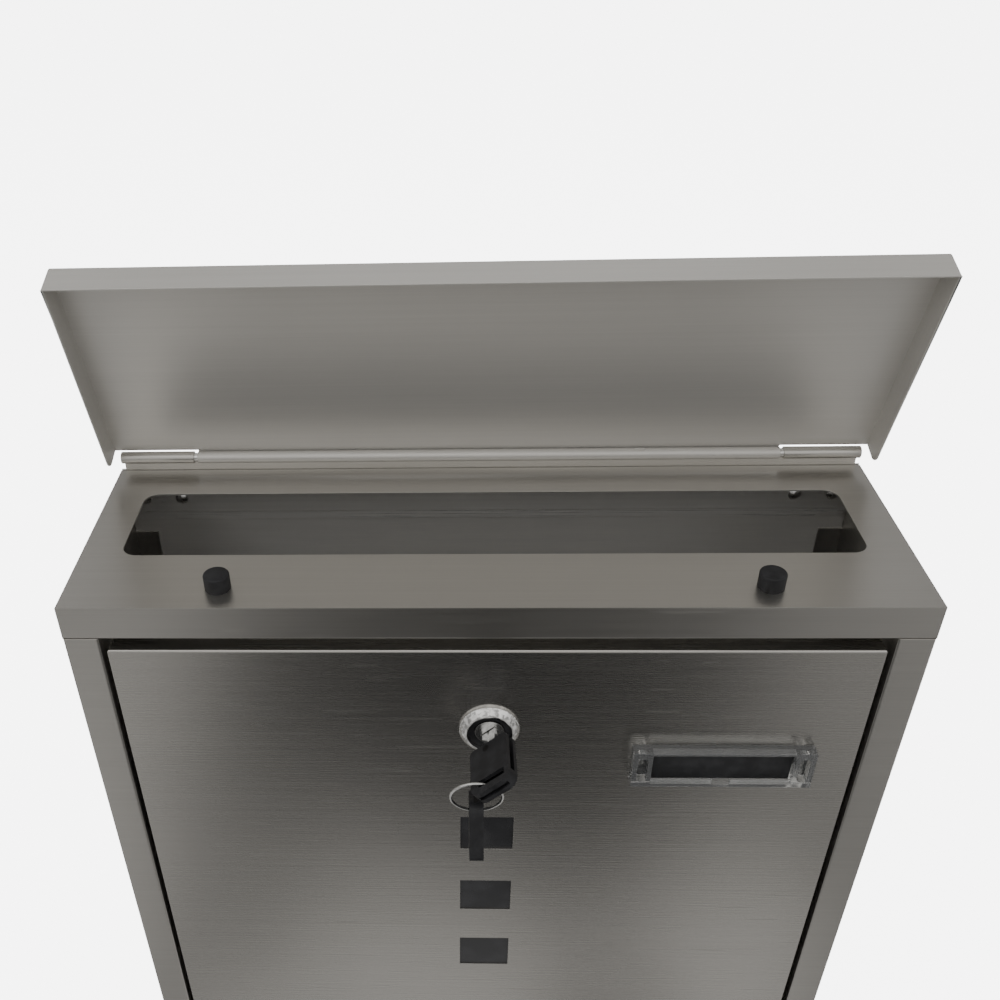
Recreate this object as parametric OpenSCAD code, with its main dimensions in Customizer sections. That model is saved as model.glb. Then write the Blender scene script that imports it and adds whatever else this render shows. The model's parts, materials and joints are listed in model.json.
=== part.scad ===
// Wall letterbox in folded stainless sheet: hinged lid over a posting slot,
// drop-down front door with cam lock, two folding keys on a ring, three
// viewing windows and a clear name-plate frame.
// Millimetres, +Z up, the front faces -Y. The origin is the centre of the
// four wall-fixing holes, on the back face.

/* [Body] */
// Width of the body across its side walls
body_w = 370; // [300:5:450]
// Height of the body from base to deck
body_h = 350; // [330:5:460]
// Depth of the body from back face to front face
body_d = 116; // [110:2:160]
// Thickness of the folded sheet
sheet = 0.8; // [0.6:0.1:1.2]
// Height of the front rails above and below the door
rail_h = 16.9; // [14:0.1:24]
// Width of the stile at each side of the door
stile_w = 15.5; // [12:0.5:24]
// Depth of the return folded back from each stile
stile_return = 14; // [13:1:18]
// Width of the welded tabs inside the corners
tab_w = 12; // [8:1:18]

/* [Posting slot] */
// Width of the posting slot
slot_w = 333; // [240:1:340]
// Depth of the posting slot, front to back
slot_d = 52; // [30:1:60]
// Distance from the front edge to the slot
slot_front = 39; // [34:1:44]
// Corner radius of the slot
slot_r = 7; // [3:0.5:12]

/* [Lid] */
// Angle of the open lid above the deck
lid_angle = 73; // [30:1:88]
// Depth of the flange on the front of the lid
lid_front_flange = 14.9; // [12:0.1:18]
// Depth of the flange on each side of the lid
lid_side_flange = 14.1; // [12:0.1:18]
// Gap between the lid's front flange and the body
lid_front_gap = 1; // [0.8:0.1:2]
// Gap between each side flange and the body
lid_side_gap = 0.6; // [0.4:0.1:1.5]
// Height of the hinge axis above the deck
hinge_rise = 8.5; // [7:0.1:11]
// Outer radius of the rolled hinge knuckles
knuckle_r = 3; // [2.5:0.1:3.5]
// Length of each body knuckle
knuckle_len = 37; // [20:1:60]
// Distance from the side of the body to the end of the hinge
knuckle_end = 2.5; // [1.5:0.5:8]
// Gap between a body knuckle and the lid knuckle
knuckle_gap = 2; // [1:0.5:4]
// Radial clearance of the hinge wire in its knuckles
pin_clearance = 0.05; // [0.02:0.01:0.1]
// Distance from the hinge axis to the lid's notched rear edge
lid_notch = 2.8; // [2.8:0.1:6]
// Height of the hinge strip above the deck behind the lid knuckle
strip_rise = 4.8; // [2:0.2:5]
// Distance of the hinge rivets below the deck
rivet_drop = 16.5; // [12:0.5:20]

/* [Lid buffers] */
// Radius of a rubber buffer
buffer_r = 5.7; // [4:0.1:7]
// Height of a rubber buffer above the deck
buffer_h = 7.5; // [6:0.1:7.8]
// Distance of each buffer from the middle
buffer_x = 117.5; // [60:0.5:130]
// Distance of each buffer from the front edge
buffer_y = 14.5; // [12:0.5:20]

/* [Door] */
// Gap at each side of the door
door_gap = 2.2; // [1.5:0.1:3]
// Gap above the door
door_top_gap = 7.3; // [4:0.1:9]
// Gap below the door
door_bottom_gap = 3.5; // [3.2:0.1:5]
// How far the door sits behind the front of the body
door_recess = 1; // [0.5:0.1:2]
// Depth of the flanges folded round the door
door_flange = 12; // [10.5:0.5:16]
// Height of the door pivots above the door's bottom edge
pivot_rise = 8; // [7:0.1:9]
// Distance of the door pivots behind the door's face
pivot_back = 7; // [6:0.1:8]
// Radius of the door pivots
pivot_r = 2.5; // [1.5:0.1:3]

/* [Windows] */
// Number of viewing windows
window_count = 3; // [1:1:3]
// Width of a window
window_w = 26; // [15:1:40]
// Height of a window
window_h = 23.5; // [15:0.5:30]
// Distance from one window to the next
window_pitch = 48.2; // [35:0.1:55]
// Distance from the deck to the top of the first window
window_drop = 130; // [120:1:145]
// Thickness of the smoked pane
pane_t = 2; // [1.5:0.5:3]
// How far the pane reaches past the windows
pane_margin = 7; // [5:1:12]

/* [Name plate] */
// Width of the name-plate frame
plate_w = 82; // [60:1:90]
// Height of the name-plate frame
plate_h = 21.5; // [18:0.5:26]
// Thickness of the name-plate frame
plate_t = 6.2; // [4:0.1:7]
// Distance of the frame's centre from the middle of the door
plate_x = 106.3; // [80:0.1:110]
// Distance of the frame's centre below the deck
plate_drop = 90.5; // [75:0.5:110]
// Wall of the clear moulding
plate_wall = 1.6; // [1.2:0.1:2]

/* [Lock] */
// Distance of the lock's centre below the deck
lock_drop = 70; // [60:0.5:78]
// Radius of the lock's rim
rim_r = 13.6; // [12:0.1:15]
// How far the rim stands out from the door
rim_h = 4.2; // [3:0.1:5]
// Inner radius of the rim
rim_inner_r = 10; // [9.8:0.1:11]
// Height of the rim's upright edge
rim_edge = 1.1; // [0.5:0.1:2]
// Radius of the lock's threaded barrel
barrel_r = 9.5; // [9:0.1:9.6]
// Length of the barrel behind the door's face
barrel_len = 22; // [18:0.5:28]
// Radius of the turning plug
plug_r = 6.5; // [6:0.1:7]
// Running clearance of the plug in its barrel
plug_clearance = 0.05; // [0.02:0.01:0.1]
// Size of the hexagon nut across its flats
nut_af = 24; // [22:0.5:27]
// Thickness of the hexagon nut
nut_t = 4; // [3:0.5:5]
// Width of the locking cam
cam_w = 14; // [12:1:16]
// Thickness of the locking cam
cam_t = 2; // [1.5:0.5:3]
// How far the cam reaches behind the rail's lip when locked
cam_overlap = 6; // [4:0.5:6.5]
// Angle of the keyway and the cam above the horizontal
key_turn = 42; // [0:1:45]

/* [Keys] */
// Length of a key's handle
handle_len = 27; // [27:0.5:34]
// Width of a key's handle
handle_w = 21; // [20:0.5:24]
// Thickness of a key's handle
handle_t = 6.3; // [5.5:0.1:7]
// Offset of the handle to one side of its blade
handle_shift = 1.3; // [0.5:0.1:1.6]
// Width of the ring slot across the handle
ring_slot_w = 14.3; // [12:0.1:14.4]
// Height of the ring slot along the handle
ring_slot_h = 3.6; // [3.4:0.1:4]
// Material between the ring slot and the handle's end
ring_bar = 3.7; // [3.4:0.1:3.9]
// Length of a key's blade from its pivot
blade_len = 16.4; // [14:0.2:16.4]
// Width of a key's blade
blade_w = 7.5; // [6:0.1:8]
// Thickness of a key's blade
blade_t = 2; // [1.6:0.1:2.2]
// Gap between the lock's rim and the handle
handle_gap = 7.8; // [7:0.2:8.4]
// Outer radius of the key ring
ring_r = 12; // [11.5:0.1:13]
// Thickness of the key ring's wire
ring_wire = 1.3; // [1:0.1:1.5]
// Lean of the hanging ring towards the front
ring_lean = 13; // [0:1:15]

/* [Wall fixing] */
// Distance of the fixing holes from the middle
fixing_x = 160; // [120:1:165]
// Distance of the fixing holes from the top and bottom
fixing_z = 62; // [35:1:75]
// Radius of a fixing hole
fixing_r = 3; // [2:0.1:4]

/* [Hidden] */
$fn = 48;
eps = 0.01;

// Levels and planes of the body
top_z = body_h / 2;
base_z = -body_h / 2;
front_y = -body_d;
half_w = body_w / 2;
inner_x = half_w - sheet;
opening_x = half_w - stile_w;
rail_z = top_z - rail_h;
sill_z = base_z + rail_h;
strip_y = -2 * sheet;
cap_flange_y = -3 * sheet;
cap_flange_h = 25;
strip_h = 30;
sill_return = 10;
side_tab_end = 8;

// Hinge
hinge_y = -sheet - knuckle_r;
hinge_z = top_z + hinge_rise;
bore_r = knuckle_r - sheet;
wire_r = bore_r - pin_clearance;
hinge_x = half_w - knuckle_end;
knuckle_x = hinge_x - knuckle_len;
lid_knuckle_x = knuckle_x - knuckle_gap;
lid_len = body_d + hinge_y + lid_front_gap + sheet;
lid_x = half_w + lid_side_gap + sheet;
lid_corner_r = 5;
body_roll_end = 320;
lid_roll_end = -215;
crimp_x = 73;
crimp_w = 5;
crimp_h = 1.8;
rivet_x = [hinge_x - 26.5, hinge_x - 7.5];
rivet_r = 1.6;
rivet_head_r = 3.2;
rivet_head_h = 1.5;

// Buffers
buffer_neck_r = 2.6;
buffer_barb_r = 3.4;
buffer_barb_h = 2.5;

// Door
door_y = front_y + door_recess;
door_x = opening_x - door_gap;
door_top = rail_z - door_top_gap;
door_bottom = sill_z + door_bottom_gap;
door_corner_r = 1.6;
pivot_z = door_bottom + pivot_rise;
pivot_y = door_y + pivot_back;
pivot_head_r = 4;
pivot_head_t = 1.3;
pivot_play = 0.3;
running = 0.05;

// Windows
window_top = top_z - window_drop;
window_low = window_top - (window_count - 1) * window_pitch - window_h;
clip_foot = 8;
clip_lap = 4;
clip_w = window_w + 6;

// Name plate
plate_z = top_z - plate_drop;
plate_end = 9;
plate_lip = 3.4;
plate_leg_r = 1.5;
plate_leg_x = plate_w / 2 - plate_end / 2 - 0.2;
thumb_w = 8;
card_t = 0.6;
card_fit = 0.3;

// Lock, measured forwards from the door's face
lock_z = top_z - lock_drop;
floor_h = 0.6;
guard_h = 2.2;
plug_h = 2.8;
guard_fit = 0.05;
barrel_hole = barrel_r + 0.1;
washer_t = 1;
nut_bore = barrel_r + 0.05;
tail = 7;
cam_play = 0.3;
cam_y = door_y + barrel_len + cam_play;
cam_bore = 7.1;
cam_len = lock_drop - rail_h + cam_overlap;
catch_gap = 2;
catch_h = 8;
catch_y = cam_y - catch_gap;
cam_screw_r = 2.4;
keyway_w = blade_w + 0.6;
keyway_t = blade_t + 0.6;
keyway_depth = 14;
wafer_count = 4;
wafer_t = 0.7;
wafer_pitch = 1.3;
wafer_front = 1.6;
wafer_w = 2 * plug_r - 2.4;
wafer_h = 4.4;

// Keys, measured along a handle from its blade end
blade_eye = 2.8;
eye_r = 2.6;
groove_t = blade_t + 0.6;
groove_edge = blade_w / 2 + 0.5;
slot_near = handle_len - ring_bar - ring_slot_h;
key_pin_r = 1;
key_pin_head = 1.7;
key_pin_sink = 0.5;
handle_near_r = 2;
handle_far_r = 5;
end_groove = 1.8;
end_groove_w = 16;
end_groove_t = 2;
slot_side = -4.8;
handle_y = door_y - rim_h - handle_gap;
ring_mid_r = ring_r - ring_wire / 2;
ring_bore_r = ring_r - ring_wire;
ring_play = 0.35;
// Ring pass through the slot of the key in the lock
pass_y = handle_y - slot_near - ring_slot_h / 2;
post_x = slot_side * cos(key_turn) - handle_t / 2 * sin(key_turn);
post_z = slot_side * sin(key_turn) + handle_t / 2 * cos(key_turn);
ring_x = post_x - 0.6;
ring_top_z = post_z + ring_play + ring_wire / 2;
ring_z = lock_z + ring_top_z - ring_mid_r * cos(ring_lean);
ring_y = pass_y + ring_mid_r * sin(ring_lean) - 0.36;
// Lowest point of the ring, where the spare key hangs by one end of its slot
hang_y = ring_y + ring_mid_r * sin(ring_lean);
hang_z = ring_z - ring_mid_r * cos(ring_lean);
hang_play = 1.45;
hang_side = handle_shift - slot_side - hang_play;
hang_along = handle_len / 2 - ring_bar - hang_play;
spare_lean = atan(hang_side / hang_along);

steel = [0.66, 0.65, 0.62];
steel_dark = [0.45, 0.44, 0.42];
chrome = [0.86, 0.87, 0.88];
black = [0.08, 0.08, 0.09];
brass = [0.75, 0.62, 0.35];
smoke = [0.16, 0.16, 0.17];

// A box from one corner to the opposite one
module slab(low, high) {
    translate(low)
        cube([high[0] - low[0], high[1] - low[1], high[2] - low[2]]);
}

// A cylinder along X between two stations
module rod_x(r, x0, x1) {
    translate([x0, 0, 0])
        rotate([0, 90, 0])
            cylinder(r = r, h = x1 - x0);
}

// A cylinder along Y between two stations
module rod_y(r, y0, y1) {
    translate([0, y1, 0])
        rotate([90, 0, 0])
            cylinder(r = r, h = y1 - y0);
}

// A rectangle with round corners, centred
module round_rect(w, h, r) {
    union() {
        square([w - 2 * r, h], center = true);
        square([w, h - 2 * r], center = true);
        for (x = [-1, 1], y = [-1, 1])
            translate([x * (w / 2 - r), y * (h / 2 - r)])
                circle(r = r);
    }
}

// Strip of sheet rolled round the X axis; angles run from +Y towards +Z
module roll_x(a0, a1, x0, x1) {
    translate([x0, 0, 0])
        rotate([90, 0, 90])
            rotate([0, 0, a0])
                rotate_extrude(angle = a1 - a0)
                    translate([bore_r, 0])
                        square([sheet, x1 - x0]);
}

// Both ends of the body, mirrored about the middle
module both_sides() {
    children();
    mirror([1, 0, 0])
        children();
}

module back_panel() {
    color(steel)
        difference() {
            slab([-half_w, -sheet, base_z], [half_w, 0, top_z]);
            for (x = [-fixing_x, fixing_x], z = [base_z + fixing_z, top_z - fixing_z])
                translate([x, 0, z])
                    rod_y(fixing_r, -sheet - 1, 1);
            for (s = [-1, 1], x = rivet_x)
                translate([s * x, 0, top_z - rivet_drop])
                    rod_y(rivet_r, -sheet - 1, 1);
        }
}

// The right-hand side wall; the left one is its mirror image
module side_wall() {
    difference() {
        union() {
            slab([inner_x, front_y, base_z + sheet], [half_w, -sheet, top_z - sheet]);
            slab([inner_x - tab_w, -2 * sheet, base_z + side_tab_end + tab_w],
                [inner_x, -sheet, top_z - strip_h - side_tab_end]);
            slab([opening_x, front_y, sill_z], [inner_x + eps, front_y + sheet, rail_z]);
            slab([opening_x, front_y, sill_z],
                [opening_x + sheet, front_y + stile_return, rail_z]);
        }
        // Clear of the rails, which close the front at top and bottom
        slab([inner_x - 1, front_y - 1, rail_z], [half_w + 1, front_y + sheet, top_z]);
        slab([inner_x - 1, front_y - 1, base_z], [half_w + 1, front_y + sheet, sill_z]);
        translate([0, pivot_y, pivot_z])
            rod_x(pivot_r, opening_x - 1, opening_x + sheet + 1);
    }
}

module right_side() {
    color(steel)
        side_wall();
}

module left_side() {
    color(steel)
        mirror([1, 0, 0])
            side_wall();
}

module top_cap() {
    color(steel)
        difference() {
            union() {
                // Deck, rail, the return below it and its upturned lip
                slab([-half_w, front_y, top_z - sheet], [half_w, strip_y, top_z]);
                slab([-half_w, front_y, rail_z], [half_w, front_y + sheet, top_z]);
                slab([-inner_x + 0.2, front_y, rail_z], [inner_x - 0.2, catch_y, rail_z + sheet]);
                slab([-inner_x + tab_w, catch_y - sheet, rail_z],
                    [inner_x - tab_w, catch_y, rail_z + catch_h]);
                // Flange at the back and tabs at the sides
                slab([-inner_x, cap_flange_y, top_z - cap_flange_h], [inner_x, strip_y, top_z]);
                both_sides()
                    slab([inner_x - sheet, front_y + stile_return, top_z - tab_w],
                        [inner_x, cap_flange_y, top_z]);
            }
            // Posting slot
            translate([0, front_y + slot_front + slot_d / 2, top_z - sheet - 1])
                linear_extrude(height = sheet + 2)
                    round_rect(slot_w, slot_d, slot_r);
            for (x = [-buffer_x, buffer_x])
                translate([x, front_y + buffer_y, top_z - sheet - 1])
                    cylinder(r = buffer_neck_r, h = sheet + 2);
            for (s = [-1, 1], x = rivet_x)
                translate([s * x, 0, top_z - rivet_drop])
                    rod_y(rivet_r, cap_flange_y - 1, strip_y + 1);
        }
}

module bottom_panel() {
    color(steel)
        union() {
            slab([-half_w, front_y, base_z], [half_w, -sheet, base_z + sheet]);
            slab([-half_w, front_y, base_z], [half_w, front_y + sheet, sill_z]);
            slab([-inner_x + 0.2, front_y, sill_z - sheet],
                [inner_x - 0.2, front_y + sill_return, sill_z]);
            slab([-inner_x, -2 * sheet, base_z], [inner_x, -sheet, base_z + tab_w]);
            both_sides()
                slab([inner_x - sheet, front_y + stile_return, base_z],
                    [inner_x, -2 * sheet, base_z + tab_w]);
        }
}

// Strip between back panel and cap, rolled into a knuckle at each end
module hinge_strip() {
    color(steel)
        difference() {
            union() {
                slab([-hinge_x, strip_y, top_z - strip_h], [hinge_x, -sheet, top_z + strip_rise]);
                both_sides()
                    union() {
                        slab([knuckle_x, strip_y, top_z], [hinge_x, -sheet, hinge_z]);
                        translate([0, hinge_y, hinge_z])
                            roll_x(0, body_roll_end, knuckle_x, hinge_x);
                    }
            }
            for (s = [-1, 1], x = rivet_x)
                translate([s * x, 0, top_z - rivet_drop])
                    rod_y(rivet_r, strip_y - 1, 1);
        }
}

module hinge_rivets() {
    color(chrome)
        for (s = [-1, 1], x = rivet_x)
            translate([s * x, 0, top_z - rivet_drop])
                union() {
                    rod_y(rivet_r, cap_flange_y - eps, 0);
                    translate([0, cap_flange_y, 0])
                        rotate([90, 0, 0])
                            rotate_extrude()
                                intersection() {
                                    square([rivet_head_r, rivet_head_h]);
                                    translate([0, rivet_head_h - 4.5])
                                        circle(r = 4.5);
                                }
                }
}

module hinge_wire() {
    color(chrome)
        translate([0, hinge_y, hinge_z])
            rod_x(wire_r, -hinge_x, hinge_x);
}

// Rubber buffer pushed into its hole from above
module buffer() {
    translate([0, 0, top_z])
        union() {
            rotate_extrude()
                union() {
                    square([buffer_r - 1, buffer_h]);
                    square([buffer_r, buffer_h - 1]);
                    translate([buffer_r - 1, buffer_h - 1])
                        circle(r = 1);
                }
            translate([0, 0, -sheet])
                cylinder(r = buffer_neck_r, h = sheet + eps);
            translate([0, 0, -sheet - buffer_barb_h])
                cylinder(r1 = buffer_neck_r - 0.6, r2 = buffer_barb_r, h = buffer_barb_h);
        }
}

module lid_buffer_left() {
    color(black)
        translate([-buffer_x, front_y + buffer_y, 0])
            buffer();
}

module lid_buffer_right() {
    color(black)
        translate([buffer_x, front_y + buffer_y, 0])
            buffer();
}

// Shouldered rivet through stile return and door flange
module door_pivot() {
    translate([0, pivot_y, pivot_z])
        union() {
            rod_x(pivot_r, door_x - sheet - pivot_play - pivot_head_t, opening_x + sheet + eps);
            rod_x(pivot_head_r, door_x - sheet - pivot_play - pivot_head_t,
                door_x - sheet - pivot_play);
            rod_x(pivot_head_r, door_x + pivot_play, opening_x);
            rod_x(pivot_head_r, opening_x + sheet, opening_x + sheet + pivot_head_t);
        }
}

module door_pivot_right() {
    color(chrome)
        door_pivot();
}

module door_pivot_left() {
    color(chrome)
        mirror([1, 0, 0])
            door_pivot();
}

// The lid as it lies closed and level, with the hinge axis as its X axis
module level_lid() {
    panel_low = knuckle_r - sheet;
    difference() {
        union() {
            slab([-lid_x, -lid_len, panel_low], [lid_x, -lid_notch, knuckle_r]);
            slab([-lid_knuckle_x, -lid_notch - 1, panel_low],
                [lid_knuckle_x, knuckle_r * cos(80), knuckle_r]);
            roll_x(lid_roll_end, 80, -lid_knuckle_x, lid_knuckle_x);
            slab([-lid_x, -lid_len, knuckle_r - lid_front_flange],
                [lid_x, -lid_len + sheet, knuckle_r]);
            both_sides()
                difference() {
                    slab([lid_x - sheet, -lid_len, knuckle_r - lid_side_flange],
                        [lid_x, -lid_notch, knuckle_r]);
                    // Round the free rear corner
                    difference() {
                        slab([lid_x - 2, -lid_notch - lid_corner_r, knuckle_r - lid_side_flange - 1],
                            [lid_x + 1, 1, knuckle_r - lid_side_flange + lid_corner_r]);
                        translate([0, -lid_notch - lid_corner_r,
                            knuckle_r - lid_side_flange + lid_corner_r])
                            rod_x(lid_corner_r, lid_x - 3, lid_x + 2);
                    }
                }
        }
        // Crimp that keeps the hinge wire from turning out
        slab([crimp_x, -knuckle_r - 1, -crimp_h / 2],
            [crimp_x + crimp_w, -knuckle_r + sheet / 2, crimp_h / 2]);
    }
}

module lid() {
    color(steel)
        translate([0, hinge_y, hinge_z])
            rotate([-lid_angle, 0, 0])
                level_lid();
}

module door() {
    flange_y = door_y + door_flange;
    color(steel)
        difference() {
            slab([-door_x, door_y, door_bottom], [door_x, flange_y, door_top]);
            slab([-door_x + sheet, door_y + sheet, door_bottom + sheet],
                [door_x - sheet, flange_y + 1, door_top - sheet]);
            for (i = [0 : window_count - 1])
                slab([-window_w / 2, door_y - 1, window_top - i * window_pitch - window_h],
                    [window_w / 2, door_y + sheet + 1, window_top - i * window_pitch]);
            translate([0, 0, lock_z])
                rod_y(barrel_hole, door_y - 1, door_y + sheet + 1);
            for (s = [-1, 1])
                translate([plate_x + s * plate_leg_x, 0, plate_z])
                    rod_y(plate_leg_r, door_y - 1, door_y + sheet + 1);
            translate([0, pivot_y, pivot_z])
                rod_x(pivot_r + running, -door_x - 1, door_x + 1);
        }
}

module window_pane() {
    color(smoke)
        slab([-window_w / 2 - pane_margin, door_y + sheet, window_low - pane_margin],
            [window_w / 2 + pane_margin, door_y + sheet + pane_t, window_top + pane_margin]);
}

// Stepped clip welded to the door, holding one end of the pane
module pane_clip() {
    step = sheet + pane_t;
    union() {
        slab([-clip_w / 2, 0, 0.4], [clip_w / 2, sheet, clip_foot]);
        slab([-clip_w / 2, 0, 0.4], [clip_w / 2, step, 0.4 + sheet]);
        slab([-clip_w / 2, pane_t, -clip_lap], [clip_w / 2, step, 0.4 + sheet]);
    }
}

module pane_clips() {
    color(steel_dark) {
        translate([0, door_y + sheet, window_top + pane_margin])
            pane_clip();
        translate([0, door_y + sheet, window_low - pane_margin])
            mirror([0, 0, 1])
                pane_clip();
    }
}

// Clear frame: back plate, raised rim, two end blocks and a split lower lip
module name_frame() {
    half_l = plate_w / 2;
    half_h = plate_h / 2;
    inside = half_h - plate_wall;
    color("aliceblue", 0.5)
        translate([plate_x, door_y, plate_z])
            difference() {
                union() {
                    slab([-half_l, -plate_t, -half_h], [half_l, 0, half_h]);
                    for (s = [-1, 1])
                        translate([s * plate_leg_x, 0, 0])
                            union() {
                                rod_y(plate_leg_r, -1, sheet + eps);
                                translate([0, sheet, 0])
                                    rotate([-90, 0, 0])
                                        cylinder(r1 = plate_leg_r + 0.7, r2 = plate_leg_r - 0.4, h = 2);
                            }
                }
                // Card well
                slab([-half_l + plate_end, -plate_t - 1, -inside + plate_lip],
                    [half_l - plate_end, -plate_wall, inside]);
                slab([-half_l + plate_end, -plate_t + 1, -inside],
                    [half_l - plate_end, -plate_wall, -inside + plate_lip + 1]);
                // Thumb gap in the lower lip
                slab([-thumb_w / 2, -plate_t - 1, -inside],
                    [thumb_w / 2, -plate_t + 2, -inside + plate_lip + 1]);
                // Hollow of each end block
                for (s = [-1, 1])
                    translate([s * (half_l - plate_end / 2 - 0.2), -plate_t - 1, 0])
                        rotate([-90, 0, 0])
                            linear_extrude(height = plate_t - plate_wall + 1)
                                round_rect(4.6, plate_h - 7, 2.2);
            }
}

module name_card() {
    half_l = plate_w / 2 - plate_end - card_fit;
    half_h = plate_h / 2 - plate_wall - card_fit;
    color(black)
        translate([plate_x, door_y - plate_wall, plate_z])
            slab([-half_l, -card_t, -half_h], [half_l, 0, half_h]);
}

// Turns a profile drawn as (radius, height in front of the door) about the lock's axis
module lock_turned() {
    translate([0, door_y, lock_z])
        rotate([90, 0, 0])
            rotate_extrude($fn = 64)
                children();
}

module lock_housing() {
    slope = rim_r - rim_inner_r;
    color(chrome)
        lock_turned()
            difference() {
                union() {
                    translate([0, -barrel_len])
                        square([barrel_r, barrel_len + floor_h]);
                    polygon([[0, 0], [rim_r, 0], [rim_r, rim_edge],
                        [rim_r - slope * 0.35, rim_edge + (rim_h - rim_edge) * 0.55],
                        [rim_r - slope * 0.8, rim_h], [0, rim_h]]);
                }
                translate([0, floor_h])
                    square([rim_inner_r, rim_h]);
                translate([0, -barrel_len - 1])
                    square([plug_r + plug_clearance, barrel_len + rim_h + 2]);
                translate([-rim_r, -barrel_len - 1])
                    square([rim_r, barrel_len + rim_h + 2]);
            }
}

module lock_guard() {
    color(black)
        lock_turned()
            translate([plug_r + 0.4, floor_h])
                square([rim_inner_r - guard_fit - plug_r - 0.4, guard_h - floor_h]);
}

module lock_washer() {
    color(chrome)
        translate([0, 0, lock_z])
            difference() {
                rod_y(nut_af / 2 - 0.5, door_y + sheet, door_y + sheet + washer_t);
                rod_y(nut_bore, door_y, door_y + sheet + washer_t + 1);
            }
}

module lock_nut() {
    nut_y = door_y + sheet + washer_t;
    color(chrome)
        translate([0, 0, lock_z])
            difference() {
                translate([0, nut_y, 0])
                    rotate([-90, 0, 0])
                        cylinder(r = nut_af / 2 / cos(30), h = nut_t, $fn = 6);
                rod_y(nut_bore, nut_y - 1, nut_y + nut_t + 1);
            }
}

// Lays a piece into the lock with its X along the keyway
module in_lock() {
    translate([0, 0, lock_z])
        rotate([0, -key_turn, 0])
            children();
}

module lock_plug() {
    color(chrome)
        in_lock()
            difference() {
                union() {
                    rod_y(plug_r, door_y - plug_h, door_y + barrel_len);
                    slab([-tail / 2, door_y + barrel_len - eps, -tail / 2],
                        [tail / 2, cam_y + cam_t - 0.1, tail / 2]);
                }
                slab([-keyway_w / 2, door_y - plug_h - 1, -keyway_t / 2],
                    [keyway_w / 2, door_y - plug_h + keyway_depth, keyway_t / 2]);
                for (i = [0 : wafer_count - 1])
                    translate([0, door_y - wafer_front + i * wafer_pitch, 0])
                        slab([-wafer_w / 2 - 0.1, 0, -wafer_h / 2 - 0.1],
                            [wafer_w / 2 + 0.1, wafer_t + 0.1, wafer_h / 2 + 0.1]);
                rod_y(cam_screw_r - 0.2, door_y + barrel_len - 5, cam_y + cam_t + 1);
            }
}

module lock_wafers() {
    color(brass)
        in_lock()
            for (i = [0 : wafer_count - 1])
                translate([0, door_y - wafer_front + i * wafer_pitch + 0.05, 0])
                    difference() {
                        slab([-wafer_w / 2, 0, -wafer_h / 2], [wafer_w / 2, wafer_t, wafer_h / 2]);
                        slab([-keyway_w / 2, -1, -keyway_t / 2], [keyway_w / 2, 2, keyway_t / 2]);
                    }
}

module lock_cam() {
    color(steel_dark)
        in_lock()
            translate([0, cam_y, 0])
                difference() {
                    union() {
                        slab([0, 0, -cam_w / 2], [cam_len - cam_w / 2, cam_t, cam_w / 2]);
                        rod_y(cam_w / 2, 0, cam_t);
                        translate([cam_len - cam_w / 2, 0, 0])
                            rod_y(cam_w / 2, 0, cam_t);
                    }
                    slab([-cam_bore / 2, -1, -cam_bore / 2], [cam_bore / 2, cam_t + 1, cam_bore / 2]);
                }
}

module cam_screw() {
    head_y = cam_y + cam_t;
    color(chrome)
        in_lock()
            difference() {
                union() {
                    rod_y(cam_screw_r - 0.2, head_y - 6, head_y + 1);
                    rod_y(cam_w / 2 - 1, head_y, head_y + 0.8);
                    rod_y(cam_screw_r + 1.8, head_y + 0.8, head_y + 3);
                }
                slab([-0.5, head_y + 2, -cam_w], [0.5, head_y + 4, cam_w]);
                slab([-cam_w, head_y + 2, -0.5], [cam_w, head_y + 4, 0.5]);
            }
}

// A handle lies along -Y from its blade end, with its width along X; its
// blade groove is open towards +X
module handle() {
    difference() {
        translate([handle_shift, -handle_len / 2, -handle_t / 2])
            linear_extrude(height = handle_t)
                intersection() {
                    round_rect(handle_w, handle_len, handle_near_r);
                    translate([0, handle_far_r])
                        round_rect(handle_w, handle_len + 2 * handle_far_r, handle_far_r);
                }
        slab([-groove_edge, -slot_near - 1, -groove_t / 2], [handle_w, 1, groove_t / 2]);
        slab([slot_side, -slot_near - ring_slot_h, -handle_t],
            [slot_side + ring_slot_w, -slot_near, handle_t]);
        // Groove in the end face
        slab([handle_shift - end_groove_w / 2, -handle_len - 1, -end_groove_t / 2],
            [handle_shift + end_groove_w / 2, -handle_len + end_groove, end_groove_t / 2]);
        translate([0, -blade_eye, -handle_t])
            cylinder(r = key_pin_r, h = 2 * handle_t);
        for (s = [0, 1])
            mirror([0, 0, s])
                translate([0, -blade_eye, handle_t / 2 - key_pin_sink])
                    cylinder(r = key_pin_head, h = 2);
    }
}

// Rivet on which the blade folds
module handle_pin() {
    translate([0, -blade_eye, 0])
        union() {
            translate([0, 0, -handle_t / 2])
                cylinder(r = key_pin_r, h = handle_t);
            for (s = [0, 1])
                mirror([0, 0, s])
                    translate([0, 0, handle_t / 2 - key_pin_sink])
                        cylinder(r = key_pin_head, h = key_pin_sink);
        }
}

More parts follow.
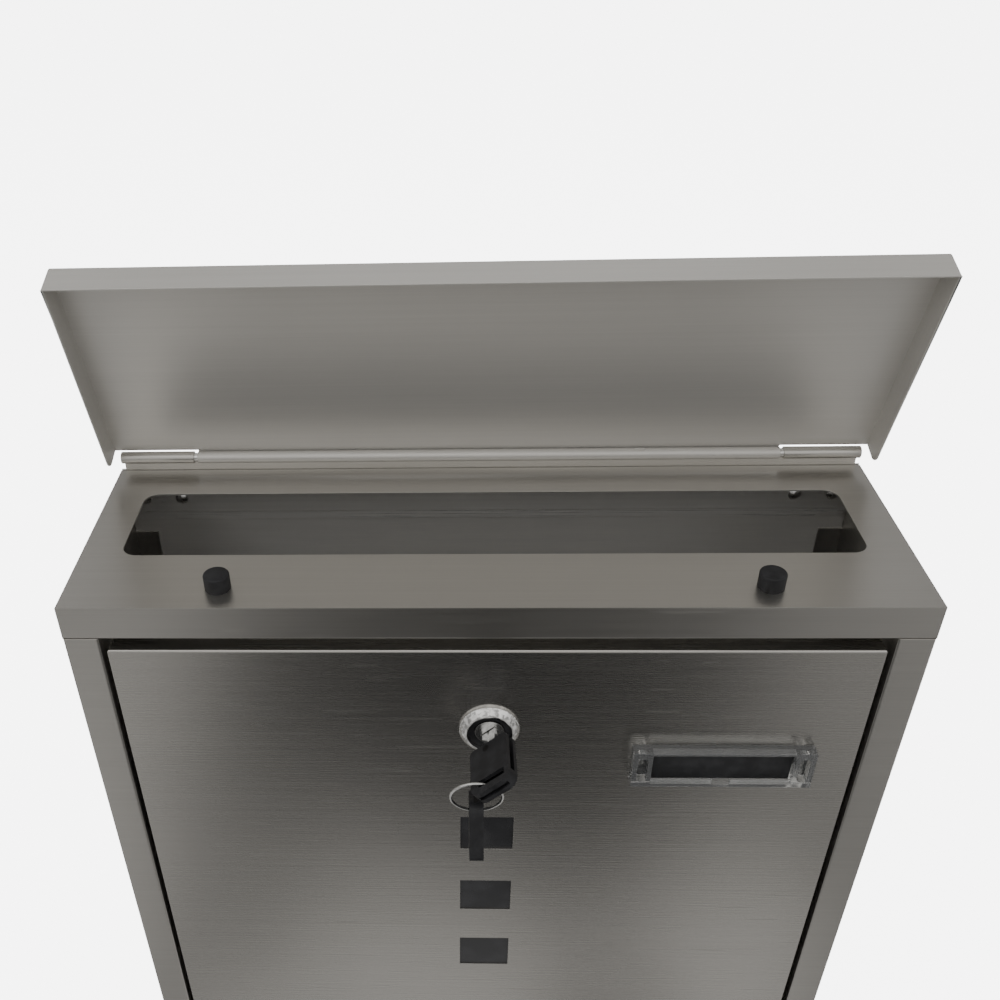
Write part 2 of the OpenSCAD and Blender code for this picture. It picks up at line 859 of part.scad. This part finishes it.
// A blade points along +Y from the pivot in its eye, with cuts on both edges
module blade() {
    difference() {
        union() {
            translate([0, 0, -blade_t / 2])
                cylinder(r = eye_r, h = blade_t);
            slab([-blade_w / 2, 0, -blade_t / 2], [blade_w / 2, blade_len - 1.5, blade_t / 2]);
            slab([-blade_w / 2 + 1.5, 0, -blade_t / 2], [blade_w / 2 - 1.5, blade_len, blade_t / 2]);
        }
        translate([0, 0, -blade_t])
            cylinder(r = key_pin_r + running, h = 2 * blade_t);
        for (i = [0 : wafer_count - 1], s = [-1, 1])
            translate([s * blade_w / 2, blade_len - 2.4 - i * wafer_pitch, -blade_t])
                cylinder(r = 0.4 + 0.12 * ((i + (s + 1) / 2) % 2), h = 2 * blade_t, $fn = 24);
        slab([-0.4, 4.5, blade_t / 2 - 0.5], [0.4, blade_len + 1, blade_t]);
    }
}

module key_blade() {
    color(chrome)
        in_lock()
            translate([0, handle_y - blade_eye, 0])
                blade();
}

module key_pin() {
    color(chrome)
        in_lock()
            translate([0, handle_y, 0])
                handle_pin();
}

module key_handle() {
    color(black)
        in_lock()
            translate([0, handle_y, 0])
                handle();
}

module key_ring() {
    color(chrome)
        translate([ring_x, ring_y, ring_z])
            rotate([90 + ring_lean, 0, 0])
                rotate_extrude($fn = 96)
                    translate([ring_mid_r, 0])
                        circle(d = ring_wire, $fn = 24);
}

// Hangs a key from the lowest point of the ring, by the front end of its slot
module hung() {
    translate([ring_x, hang_y, hang_z])
        rotate([-spare_lean, 0, 0])
            translate([0, hang_side, -hang_along])
                rotate([0, 0, 180])
                    rotate([0, 90, 0])
                        rotate([0, 0, -90])
                            translate([-handle_shift, handle_len / 2, 0])
                                children();
}

module spare_handle() {
    color(black)
        hung()
            handle();
}

module spare_pin() {
    color(chrome)
        hung()
            handle_pin();
}

module spare_blade() {
    color(chrome)
        hung()
            translate([0, -blade_eye, 0])
                rotate([0, 0, 180])
                    blade();
}

back_panel();
left_side();
right_side();
top_cap();
bottom_panel();
hinge_strip();
hinge_rivets();
hinge_wire();
lid_buffer_left();
lid_buffer_right();
door_pivot_left();
door_pivot_right();
lid();
door();
window_pane();
pane_clips();
name_frame();
name_card();
lock_housing();
lock_guard();
lock_washer();
lock_nut();
lock_plug();
lock_wafers();
lock_cam();
cam_screw();
key_blade();
key_pin();
key_handle();
key_ring();
spare_handle();
spare_pin();
spare_blade();
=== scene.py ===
"""Finishes a wall letterbox: folded edges, brushed steel, lock, keys and a studio round it."""

import json
from math import cos, radians, sin

import bmesh
import bpy
from mathutils import Matrix, Vector


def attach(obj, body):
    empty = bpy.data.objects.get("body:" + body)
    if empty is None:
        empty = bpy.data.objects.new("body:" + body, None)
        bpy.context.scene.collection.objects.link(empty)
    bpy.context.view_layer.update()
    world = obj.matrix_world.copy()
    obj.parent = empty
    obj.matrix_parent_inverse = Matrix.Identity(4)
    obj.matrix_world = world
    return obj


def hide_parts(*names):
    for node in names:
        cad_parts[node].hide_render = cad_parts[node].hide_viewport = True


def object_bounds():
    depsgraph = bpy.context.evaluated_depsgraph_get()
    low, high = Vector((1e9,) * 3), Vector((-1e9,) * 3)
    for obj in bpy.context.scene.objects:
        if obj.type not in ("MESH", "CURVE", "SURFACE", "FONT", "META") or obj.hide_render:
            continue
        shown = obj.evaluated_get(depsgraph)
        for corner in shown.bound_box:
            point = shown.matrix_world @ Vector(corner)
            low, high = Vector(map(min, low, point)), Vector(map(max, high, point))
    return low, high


bl_info = {
    "name": "Wall letterbox",
    "version": (1, 0, 0),
    "blender": (4, 5, 0),
    "location": "View3D > Sidebar > Letterbox",
    "description": "Finishes the pieces of a folded steel letterbox",
    "category": "Object",
}

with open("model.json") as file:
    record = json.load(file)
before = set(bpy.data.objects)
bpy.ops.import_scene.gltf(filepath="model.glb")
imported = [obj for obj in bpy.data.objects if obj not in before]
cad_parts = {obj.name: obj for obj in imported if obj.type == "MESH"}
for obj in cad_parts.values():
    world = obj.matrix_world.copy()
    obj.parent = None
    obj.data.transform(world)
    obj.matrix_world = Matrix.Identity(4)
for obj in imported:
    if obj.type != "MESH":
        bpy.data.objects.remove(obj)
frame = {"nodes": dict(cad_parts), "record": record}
cad_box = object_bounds()

MM = 0.001
INSIDE = (-0.05, 0.1746)  # depth and height: behind and below them the sheet is inside the body
GRAIN_ACROSS = (14.0, 2600.0, 2600.0)  # streaks run from side to side
GRAIN_LEVEL = (14.0, 14.0, 2600.0)  # streaks lie level on every face
GRAIN_MILL = (40.0, 40.0, 900.0)  # coarse rolled finish of the back
FLOOR_DROP = 0.13  # from the foot of the body to the floor
TENT_RADIUS = 0.9
BODY_OF = {
    node: body
    for body, nodes in frame["record"]["behaviour"]["bodies"].items()
    for node in nodes
}


# Sockets as values

class Value:
    """A shader socket that takes part in sums; each sum adds one Math node."""

    def __init__(self, maker, socket):
        self.maker = maker
        self.socket = socket

    def _math(self, operation, first, second):
        return self.maker.node("ShaderNodeMath", {"operation": operation}, {0: first, 1: second})

    def __add__(self, other):
        return self._math("ADD", self, other)

    def __radd__(self, other):
        return self._math("ADD", other, self)

    def __sub__(self, other):
        return self._math("SUBTRACT", self, other)

    def __rsub__(self, other):
        return self._math("SUBTRACT", other, self)

    def __mul__(self, other):
        return self._math("MULTIPLY", self, other)

    def __rmul__(self, other):
        return self._math("MULTIPLY", other, self)

    def above(self, low, high):
        """0 below low, 1 above high, and smooth between them."""
        return self.maker.node(
            "ShaderNodeMapRange",
            {"interpolation_type": "SMOOTHSTEP", "clamp": True},
            {"Value": self, "From Min": low, "From Max": high},
        )


class Maker:
    """Builds one material from named nodes."""

    def __init__(self, name):
        self.material = bpy.data.materials.new(name)
        self.material.use_nodes = True
        self.tree = self.material.node_tree
        self.shader = self.tree.nodes["Principled BSDF"]
        self.place = self.node("ShaderNodeTexCoord", output="Object")

    def node(self, kind, settings=None, inputs=None, output=0):
        made = self.tree.nodes.new(kind)
        for key, value in (settings or {}).items():
            setattr(made, key, value)
        for key, value in (inputs or {}).items():
            self.feed(made.inputs[key], value)
        return Value(self, made.outputs[output])

    def feed(self, socket, value):
        if isinstance(value, Value):
            self.tree.links.new(value.socket, socket)
        else:
            socket.default_value = value

    def set(self, **inputs):
        for key, value in inputs.items():
            self.feed(self.shader.inputs[key.replace("_", " ")], value)

    def scaled(self, x, y, z):
        return self.node("ShaderNodeMapping", {}, {"Vector": self.place, "Scale": (x, y, z)})

    def noise(self, vector, scale, detail=2.0, roughness=0.5):
        return self.node(
            "ShaderNodeTexNoise",
            {"noise_dimensions": "3D"},
            {"Vector": vector, "Scale": scale, "Detail": detail, "Roughness": roughness},
        )

    def blend(self, factor, first, second):
        return self.node(
            "ShaderNodeMix",
            {"data_type": "RGBA"},
            {0: factor, 6: (*first, 1.0) if isinstance(first, tuple) else first,
             7: (*second, 1.0) if isinstance(second, tuple) else second},
            output=2,
        )

    def bump(self, height, distance, strength=1.0):
        return self.node(
            "ShaderNodeBump", {}, {"Strength": strength, "Distance": distance, "Height": height}
        )


# Finishes

def brushed(name, colour, grain, rough=0.3, metal=1.0, inside=None):
    """Satin steel; grain gives how finely the streaks repeat along each axis.

    inside is a depth and a height: behind and below them the sheet keeps its mill finish.
    """
    m = Maker(name)
    streak = m.noise(m.scaled(*grain), 1.0, 3.0, 0.6)
    broad = m.noise(m.scaled(*(g * 0.22 for g in grain)), 1.0, 2.0, 0.5)
    cloud = m.noise(m.place, 9.0, 3.0, 0.55)
    dust = m.noise(m.place, 620.0, 1.0, 0.5).above(0.735, 0.80)
    scratch = m.noise(m.scaled(30.0, 900.0, 900.0), 1.0, 0.0, 0.5).above(0.77, 0.81)
    shine = cloud * 0.02 + (metal - 0.02)
    if inside:
        y, z = [m.node("ShaderNodeSeparateXYZ", {}, {0: m.place}, output=i) for i in (1, 2)]
        mill = y.above(inside[0], inside[0] + MM) * (1 - z.above(inside[1] - 0.5 * MM, inside[1]))
        shine = shine - mill * 0.45
    light = tuple(min(1.0, c * 1.10) for c in colour)
    dark = tuple(c * 0.88 for c in colour)
    tone = m.blend(streak * 0.6 + broad * 0.4, dark, light)
    tone = m.blend(dust * 0.25, tone, (0.55, 0.54, 0.50))
    m.set(
        Base_Color=tone,
        Metallic=shine,
        Roughness=streak * 0.10 + cloud * 0.05 + (rough - 0.06) + scratch * 0.05,
        Normal=m.bump(streak * 0.8 + broad * 0.4, 0.00006, 0.55),
    )
    return m.material


def plated(name, colour, rough=0.12):
    """Bright plating with faint handling marks."""
    m = Maker(name)
    wear = m.noise(m.place, 260.0, 3.0, 0.6)
    fine = m.noise(m.place, 1500.0, 2.0, 0.5)
    m.set(
        Base_Color=m.blend(wear.above(0.42, 0.7), colour, tuple(c * 0.8 for c in colour)),
        Metallic=1.0,
        Roughness=wear * 0.12 + (rough - 0.05),
        Normal=m.bump(fine, 0.00002, 0.25),
    )
    return m.material


def dull_metal(name, colour):
    """Zinc or brass stampings with a mottled surface."""
    m = Maker(name)
    mottle = m.noise(m.place, 420.0, 4.0, 0.6)
    m.set(
        Base_Color=m.blend(mottle.above(0.35, 0.65), tuple(c * 0.75 for c in colour), colour),
        Metallic=1.0,
        Roughness=mottle * 0.2 + 0.3,
        Normal=m.bump(mottle, 0.00004, 0.3),
    )
    return m.material


def moulded(name, colour, rough=0.42, grain=1900.0, depth=0.00003):
    """Plastic or rubber with a spark-eroded texture and polished high spots."""
    m = Maker(name)
    texture = m.noise(m.place, grain, 2.0, 0.5)
    handling = m.noise(m.place, 150.0, 3.0, 0.6)
    paler = tuple(c * 1.6 + 0.003 for c in colour)
    m.set(
        Base_Color=m.blend(handling.above(0.4, 0.75), colour, paler),
        Roughness=handling * 0.16 + (rough - 0.06),
        Normal=m.bump(texture, depth, 0.5),
    )
    m.shader.inputs["Specular IOR Level"].default_value = 0.3
    return m.material


def smoked(name, colour):
    """Smoked acrylic that shows almost nothing behind it."""
    m = Maker(name)
    haze = m.noise(m.place, 60.0, 3.0, 0.6)
    m.set(
        Base_Color=m.blend(haze.above(0.4, 0.7), colour, tuple(c * 1.5 for c in colour)),
        Roughness=haze * 0.10 + 0.16,
        Normal=m.bump(haze, 0.0001, 0.1),
    )
    m.shader.inputs["IOR"].default_value = 1.49
    m.shader.inputs["Specular IOR Level"].default_value = 0.42
    return m.material


def clear(name, colour):
    """Clear moulded plastic with slight flow marks."""
    m = Maker(name)
    flow = m.noise(m.scaled(60.0, 200.0, 200.0), 1.0, 2.0, 0.5)
    m.set(
        Base_Color=m.blend(flow.above(0.45, 0.7), colour, tuple(c * 0.92 for c in colour)),
        Roughness=flow * 0.08 + 0.04,
        Normal=m.bump(flow, 0.00004, 0.3),
    )
    m.shader.inputs["Transmission Weight"].default_value = 0.94
    m.shader.inputs["IOR"].default_value = 1.49
    return m.material


def pale_floor(name, colour):
    """Matt paper sweep."""
    m = Maker(name)
    fibre = m.noise(m.place, 300.0, 2.0, 0.5)
    m.set(
        Base_Color=m.blend(fibre * 0.3, colour, tuple(c * 0.98 for c in colour)),
        Roughness=fibre * 0.1 + 0.85,
        Emission_Color=m.blend(fibre * 0.3, colour, tuple(c * 0.98 for c in colour)),
    )
    m.shader.inputs["Emission Strength"].default_value = 5.6
    return m.material


# Hands

def drop_selection():
    for thing in bpy.context.selected_objects:
        thing.select_set(False)


def take(thing):
    drop_selection()
    thing.select_set(True)
    bpy.context.view_layer.objects.active = thing


def face_width(face):
    """Area over longest edge: small on the cut edge of a sheet."""
    return face.calc_area() / max(edge.calc_length() for edge in face.edges)


def finished(node, material, fold=0.0, cut=0.0, broad=3.0, clamp=False):
    """Stands a softened copy in for a node: wide radius on folds, small one on cut edges."""
    source = frame["nodes"][node]
    piece = bpy.data.objects.new(node + "_finished", source.data.copy())
    bpy.context.collection.objects.link(piece)
    take(piece)
    bpy.ops.object.mode_set(mode="EDIT")
    bpy.ops.mesh.select_all(action="SELECT")
    bpy.ops.mesh.remove_doubles(threshold=2e-6)
    bpy.ops.mesh.dissolve_limited(angle_limit=radians(0.4))
    bpy.ops.object.mode_set(mode="OBJECT")
    if fold > 0:
        mesh = bmesh.new()
        mesh.from_mesh(piece.data)
        layer = mesh.edges.layers.float.new("bevel_weight_edge")
        for edge in mesh.edges:
            if len(edge.link_faces) != 2 or edge.calc_face_angle(0) < radians(40):
                continue
            wide = min(face_width(face) for face in edge.link_faces) > broad * MM
            long_edge = edge.calc_length() > 4 * MM
            edge[layer] = 1.0 if wide and long_edge and edge.is_convex else cut / fold
        mesh.to_mesh(piece.data)
        mesh.free()
        bevel = piece.modifiers.new("Edges", "BEVEL")
        bevel.limit_method = "WEIGHT"
        bevel.width = fold * MM
        bevel.segments = 3
        bevel.use_clamp_overlap = clamp
        bevel.miter_outer = "MITER_ARC"
        bpy.ops.object.modifier_apply(modifier="Edges")
    bpy.ops.object.shade_smooth_by_angle(angle=radians(32))
    if fold > 0:
        weighted = piece.modifiers.new("Flat faces", "WEIGHTED_NORMAL")
        weighted.mode = "FACE_AREA"
        weighted.weight = 100
        weighted.keep_sharp = True
        bpy.ops.object.modifier_apply(modifier="Flat faces")
    piece.data.materials.clear()
    piece.data.materials.append(material)
    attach(piece, BODY_OF[node])
    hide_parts(node)
    return piece


# Values that a user may change

class LetterboxSizes(bpy.types.PropertyGroup):
    """Radii left by folding, cutting and moulding."""

    fold: bpy.props.FloatProperty(
        name="Fold radius", description="Outer radius of a fold in the sheet, in millimetres",
        default=1.0, min=0.2, max=1.5)
    cut: bpy.props.FloatProperty(
        name="Cut edge", description="Radius left on a deburred cut edge, in millimetres",
        default=0.14, min=0.02, max=0.3)
    grip: bpy.props.FloatProperty(
        name="Handle edge", description="Radius on the moulded key handles, in millimetres",
        default=0.7, min=0.1, max=1.2)


class LetterboxColours(bpy.types.PropertyGroup):
    """Colours of the finishes."""

    steel: bpy.props.FloatVectorProperty(
        name="Steel", description="Colour of the brushed stainless sheet",
        subtype="COLOR", size=3, default=(0.56, 0.545, 0.515), min=0, max=1)
    plating: bpy.props.FloatVectorProperty(
        name="Plating", description="Colour of the bright plated parts",
        subtype="COLOR", size=3, default=(0.86, 0.86, 0.85), min=0, max=1)
    black: bpy.props.FloatVectorProperty(
        name="Black mouldings", description="Colour of the handles, buffers and guard ring",
        subtype="COLOR", size=3, default=(0.008, 0.008, 0.009), min=0, max=1)
    smoke: bpy.props.FloatVectorProperty(
        name="Smoked pane", description="Colour of the pane behind the windows",
        subtype="COLOR", size=3, default=(0.014, 0.014, 0.015), min=0, max=1)


class LETTERBOX_OT_body(bpy.types.Operator):
    """Finish the folded panels of the body"""

    bl_idname = "letterbox.body"
    bl_label = "Body panels"

    def execute(self, context):
        sizes = context.scene.letterbox_sizes
        steel = tuple(context.scene.letterbox_colours.steel)
        along_x = brushed("Steel, grain across", steel, GRAIN_ACROSS)
        level = brushed("Steel, grain level", steel, GRAIN_LEVEL)
        cap = brushed("Steel, cap", steel, GRAIN_ACROSS, inside=INSIDE)
        finished("top_cap", cap, sizes.fold, sizes.cut)
        finished("bottom_panel", along_x, sizes.fold, sizes.cut)
        for node in ("left_side", "right_side"):
            finished(node, level, sizes.fold, sizes.cut)
        mill = brushed("Steel, mill finish", steel, GRAIN_MILL, 0.5, 0.7)
        finished("back_panel", mill, sizes.fold, sizes.cut)
        return {"FINISHED"}


class LETTERBOX_OT_hinge(bpy.types.Operator):
    """Finish the rolled hinge strip, its wire and rivets"""

    bl_idname = "letterbox.hinge"
    bl_label = "Hinge"

    def execute(self, context):
        sizes = context.scene.letterbox_sizes
        colours = context.scene.letterbox_colours
        steel = brushed("Steel, hinge", tuple(colours.steel), GRAIN_ACROSS, 0.27,
                        inside=INSIDE)
        bright = plated("Hinge wire", tuple(colours.plating), 0.2)
        finished("hinge_strip", steel, 0.25, sizes.cut)
        finished("hinge_wire", bright, 0.3, 0.3)
        finished("hinge_rivets", bright)
        return {"FINISHED"}


class LETTERBOX_OT_lid(bpy.types.Operator):
    """Finish the lid"""

    bl_idname = "letterbox.lid"
    bl_label = "Lid"

    def execute(self, context):
        sizes = context.scene.letterbox_sizes
        steel = tuple(context.scene.letterbox_colours.steel)
        satin = brushed("Steel, lid", steel, GRAIN_ACROSS, 0.42, 0.78)
        finished("lid", satin, sizes.fold, sizes.cut)
        return {"FINISHED"}


class LETTERBOX_OT_buffers(bpy.types.Operator):
    """Finish the rubber lid buffers"""

    bl_idname = "letterbox.buffers"
    bl_label = "Lid buffers"

    def execute(self, context):
        black = tuple(context.scene.letterbox_colours.black)
        rubber = moulded("Black rubber", black, 0.5, 900.0, 0.00008)
        for node in ("lid_buffer_left", "lid_buffer_right"):
            finished(node, rubber)
        return {"FINISHED"}


class LETTERBOX_OT_door(bpy.types.Operator):
    """Finish the door, its pivots, its windows and their pane"""

    bl_idname = "letterbox.door"
    bl_label = "Door"

    def execute(self, context):
        sizes = context.scene.letterbox_sizes
        colours = context.scene.letterbox_colours
        steel = brushed("Steel, door", tuple(colours.steel), GRAIN_ACROSS, 0.25)
        finished("door", steel, sizes.fold, sizes.cut)
        finished("window_pane", smoked("Smoked acrylic", tuple(colours.smoke)), 0.3, 0.1)
        finished("pane_clips", dull_metal("Zinc clips", (0.5, 0.5, 0.48)), 0.2, 0.1)
        bright = plated("Pivot plating", tuple(colours.plating), 0.2)
        for node in ("door_pivot_left", "door_pivot_right"):
            finished(node, bright, 0.25, 0.25)
        return {"FINISHED"}


class LETTERBOX_OT_name_plate(bpy.types.Operator):
    """Finish the name-plate frame and its blank card"""

    bl_idname = "letterbox.name_plate"
    bl_label = "Name plate"

    def execute(self, context):
        finished("name_frame", clear("Clear moulding", (0.94, 0.95, 0.95)), 0.4, 0.15, 1.2)
        finished("name_card", moulded("Blank card", (0.012, 0.012, 0.013), 0.5, 700.0), 0.1, 0.1)
        return {"FINISHED"}


class LETTERBOX_OT_lock(bpy.types.Operator):
    """Finish the cam lock"""

    bl_idname = "letterbox.lock"
    bl_label = "Lock"

    def execute(self, context):
        colours = context.scene.letterbox_colours
        bright = plated("Lock plating", tuple(colours.plating), 0.07)
        black = tuple(colours.black)
        finished("lock_housing", bright)
        finished("lock_guard", moulded("Guard ring", black, 0.4), 0.15, 0.1)
        finished("lock_plug", plated("Plug plating", tuple(colours.plating), 0.22), 0.2, 0.08, 1.0)
        for node in ("lock_washer", "lock_nut", "cam_screw"):
            finished(node, bright, 0.25, 0.15, 1.0)
        finished("lock_cam", dull_metal("Zinc cam", (0.52, 0.52, 0.50)), 0.3, 0.2, 1.0)
        finished("lock_wafers", dull_metal("Brass wafers", (0.75, 0.62, 0.35)))
        return {"FINISHED"}


class LETTERBOX_OT_keys(bpy.types.Operator):
    """Finish both folding keys and their ring"""

    bl_idname = "letterbox.keys"
    bl_label = "Keys"

    def execute(self, context):
        sizes = context.scene.letterbox_sizes
        colours = context.scene.letterbox_colours
        black = moulded("Handle plastic", tuple(colours.black), 0.42)
        bright = plated("Key plating", tuple(colours.plating), 0.2)
        for node in ("key_handle", "spare_handle"):
            finished(node, black, sizes.grip, 0.15, 2.0, clamp=True)
        for node in ("key_blade", "spare_blade"):
            finished(node, bright, 0.2, 0.08, 1.2)
        finished("key_pin", dull_metal("Blackened pin", (0.03, 0.03, 0.03)), 0.15, 0.1, 0.8)
        finished("spare_pin", bright, 0.15, 0.1, 0.8)
        finished("key_ring", plated("Ring wire", tuple(colours.plating), 0.12))
        return {"FINISHED"}


def area_light(name, place, aim, size, power, colour=(1, 1, 1)):
    drop_selection()
    bpy.ops.object.light_add(type="AREA", location=place)
    light = bpy.context.object
    light.name = name
    light.data.shape = "RECTANGLE"
    light.data.size, light.data.size_y = size
    light.data.energy = power
    light.data.color = colour
    light.rotation_euler = (Vector(aim) - Vector(place)).to_track_quat("-Z", "Y").to_euler()
    return light


def flat_card(name, low, high, material):
    """A level rectangle of card, as part of the studio."""
    drop_selection()
    centre = [(a + b) / 2 for a, b in zip(low, high)]
    bpy.ops.mesh.primitive_plane_add(size=1, location=centre)
    card = bpy.context.object
    card.name = name
    card.scale = (high[0] - low[0], high[1] - low[1], 1)
    bpy.ops.object.transform_apply(location=True, rotation=True, scale=True)
    card.data.materials.append(material)
    return card


def tent():
    """Soft studio tent, seen only in the steel and the clear plastic.

    It is pale above and grey below, mottled, with a dark gap low in front.
    """
    gap_middle, gap_reach = (0.04, -0.42), (0.43, 0.33)  # across and up, as shares of the radius
    grey_level, pale_lift, gap_drop = 0.40, 0.38, 0.39
    m = Maker("Tent cloth")
    ray = m.node("ShaderNodeVectorMath", {"operation": "NORMALIZE"}, {0: m.place})
    x, y, z = [m.node("ShaderNodeSeparateXYZ", {}, {0: ray}, output=i) for i in range(3)]
    across = (x - gap_middle[0]) * (1 / gap_reach[0])
    upright = (z - gap_middle[1]) * (1 / gap_reach[1])
    gap = 1 - (across * across + upright * upright).above(0.4, 1.3)
    ahead = (0 - y).above(0.1, 0.5)
    above = z.above(0.0, 0.7)
    patch = m.noise(ray, 4.5, 1.0, 0.4).above(0.44, 0.54)
    level = (grey_level + above * ahead * pale_lift - gap * ahead * gap_drop) * (0.6 + patch * 0.8)
    grey = m.node("ShaderNodeCombineXYZ", {}, {0: level, 1: level * 0.985, 2: level * 0.96})
    m.set(Base_Color=(0, 0, 0, 1), Roughness=1.0, Emission_Color=grey)
    m.shader.inputs["Emission Strength"].default_value = 1.0
    m.shader.inputs["Specular IOR Level"].default_value = 0.0
    drop_selection()
    bpy.ops.mesh.primitive_uv_sphere_add(radius=TENT_RADIUS, segments=32, ring_count=16)
    ball = bpy.context.object
    ball.name = "tent"
    ball.data.materials.append(m.material)
    ball.visible_camera = False
    ball.visible_diffuse = False
    ball.visible_shadow = False


class LETTERBOX_OT_stage(bpy.types.Operator):
    """Lay a pale floor, hang soft lights and set up the camera"""

    bl_idname = "letterbox.stage"
    bl_label = "Studio"

    def execute(self, context):
        low, high = cad_box
        floor_z = low[2] - FLOOR_DROP
        floor = flat_card("floor", (-6, -6, floor_z), (6, 6, floor_z),
                          pale_floor("Floor", (0.93, 0.93, 0.93)))
        floor.visible_glossy = False
        floor.visible_diffuse = False
        floor.visible_transmission = False
        tent()
        area_light("key_light", (-1.3, -1.0, 1.9), (0, 0, 0), (1.4, 1.4), 24)
        area_light("fill_light", (1.6, -0.7, 1.5), (0, 0, 0), (1.3, 1.3), 12)
        behind = area_light("back_light", (0, 1.3, 2.0), (0, 0, 0.2), (2.0, 1.0), 14)
        behind.visible_glossy = False

        world = context.scene.world or bpy.data.worlds.new("World")
        context.scene.world = world
        world.use_nodes = True
        sky = world.node_tree.nodes["Background"]
        sky.inputs["Color"].default_value = (0.95, 0.95, 0.95, 1)
        sky.inputs["Strength"].default_value = 1.15
        world.cycles_visibility.glossy = False
        world.cycles_visibility.transmission = False

        # The camera looks down, turned slightly to the left and slightly rolled
        pitch, yaw, roll = radians(35.36), radians(-3.25), radians(-2.09)
        place = (-0.01668, -0.46570, 0.44916)
        level = Vector((sin(yaw), cos(yaw), 0))
        side = Vector((cos(yaw), -sin(yaw), 0))
        ahead = cos(pitch) * level - Vector((0, 0, sin(pitch)))
        upward = sin(pitch) * level + Vector((0, 0, cos(pitch)))
        right = cos(roll) * side + sin(roll) * upward
        up = -sin(roll) * side + cos(roll) * upward
        drop_selection()
        bpy.ops.object.camera_add()
        camera = bpy.context.object
        camera.name = "camera"
        camera.matrix_world = Matrix((
            (right.x, up.x, -ahead.x, place[0]),
            (right.y, up.y, -ahead.y, place[1]),
            (right.z, up.z, -ahead.z, place[2]),
            (0, 0, 0, 1),
        ))
        camera.data.sensor_width = 36
        camera.data.lens = 38.387
        camera.data.shift_x = 0.0975
        camera.data.shift_y = 0.0580
        camera.data.clip_start = 0.01
        context.scene.camera = camera
        return {"FINISHED"}


OPERATORS = (
    LETTERBOX_OT_stage,
    LETTERBOX_OT_body,
    LETTERBOX_OT_hinge,
    LETTERBOX_OT_lid,
    LETTERBOX_OT_buffers,
    LETTERBOX_OT_door,
    LETTERBOX_OT_name_plate,
    LETTERBOX_OT_lock,
    LETTERBOX_OT_keys,
)


class LETTERBOX_PT_tools(bpy.types.Panel):
    """Sidebar panel with every step of the finish."""

    bl_idname = "LETTERBOX_PT_tools"
    bl_label = "Letterbox"
    bl_space_type = "VIEW_3D"
    bl_region_type = "UI"
    bl_category = "Letterbox"

    def draw(self, context):
        for group in (context.scene.letterbox_sizes, context.scene.letterbox_colours):
            for name in group.__annotations__:
                self.layout.prop(group, name)
        for operator in OPERATORS:
            self.layout.operator(operator.bl_idname)


CLASSES = (LetterboxSizes, LetterboxColours, *OPERATORS, LETTERBOX_PT_tools)


def register():
    for cls in CLASSES:
        bpy.utils.register_class(cls)
    bpy.types.Scene.letterbox_sizes = bpy.props.PointerProperty(type=LetterboxSizes)
    bpy.types.Scene.letterbox_colours = bpy.props.PointerProperty(type=LetterboxColours)


def unregister():
    del bpy.types.Scene.letterbox_colours
    del bpy.types.Scene.letterbox_sizes
    for cls in reversed(CLASSES):
        bpy.utils.unregister_class(cls)


def main():
    register()
    bpy.ops.letterbox.stage()
    bpy.ops.letterbox.body()
    bpy.ops.letterbox.hinge()
    bpy.ops.letterbox.lid()
    bpy.ops.letterbox.buffers()
    bpy.ops.letterbox.door()
    bpy.ops.letterbox.name_plate()
    bpy.ops.letterbox.lock()
    bpy.ops.letterbox.keys()


if __name__ == "__main__":
    main()
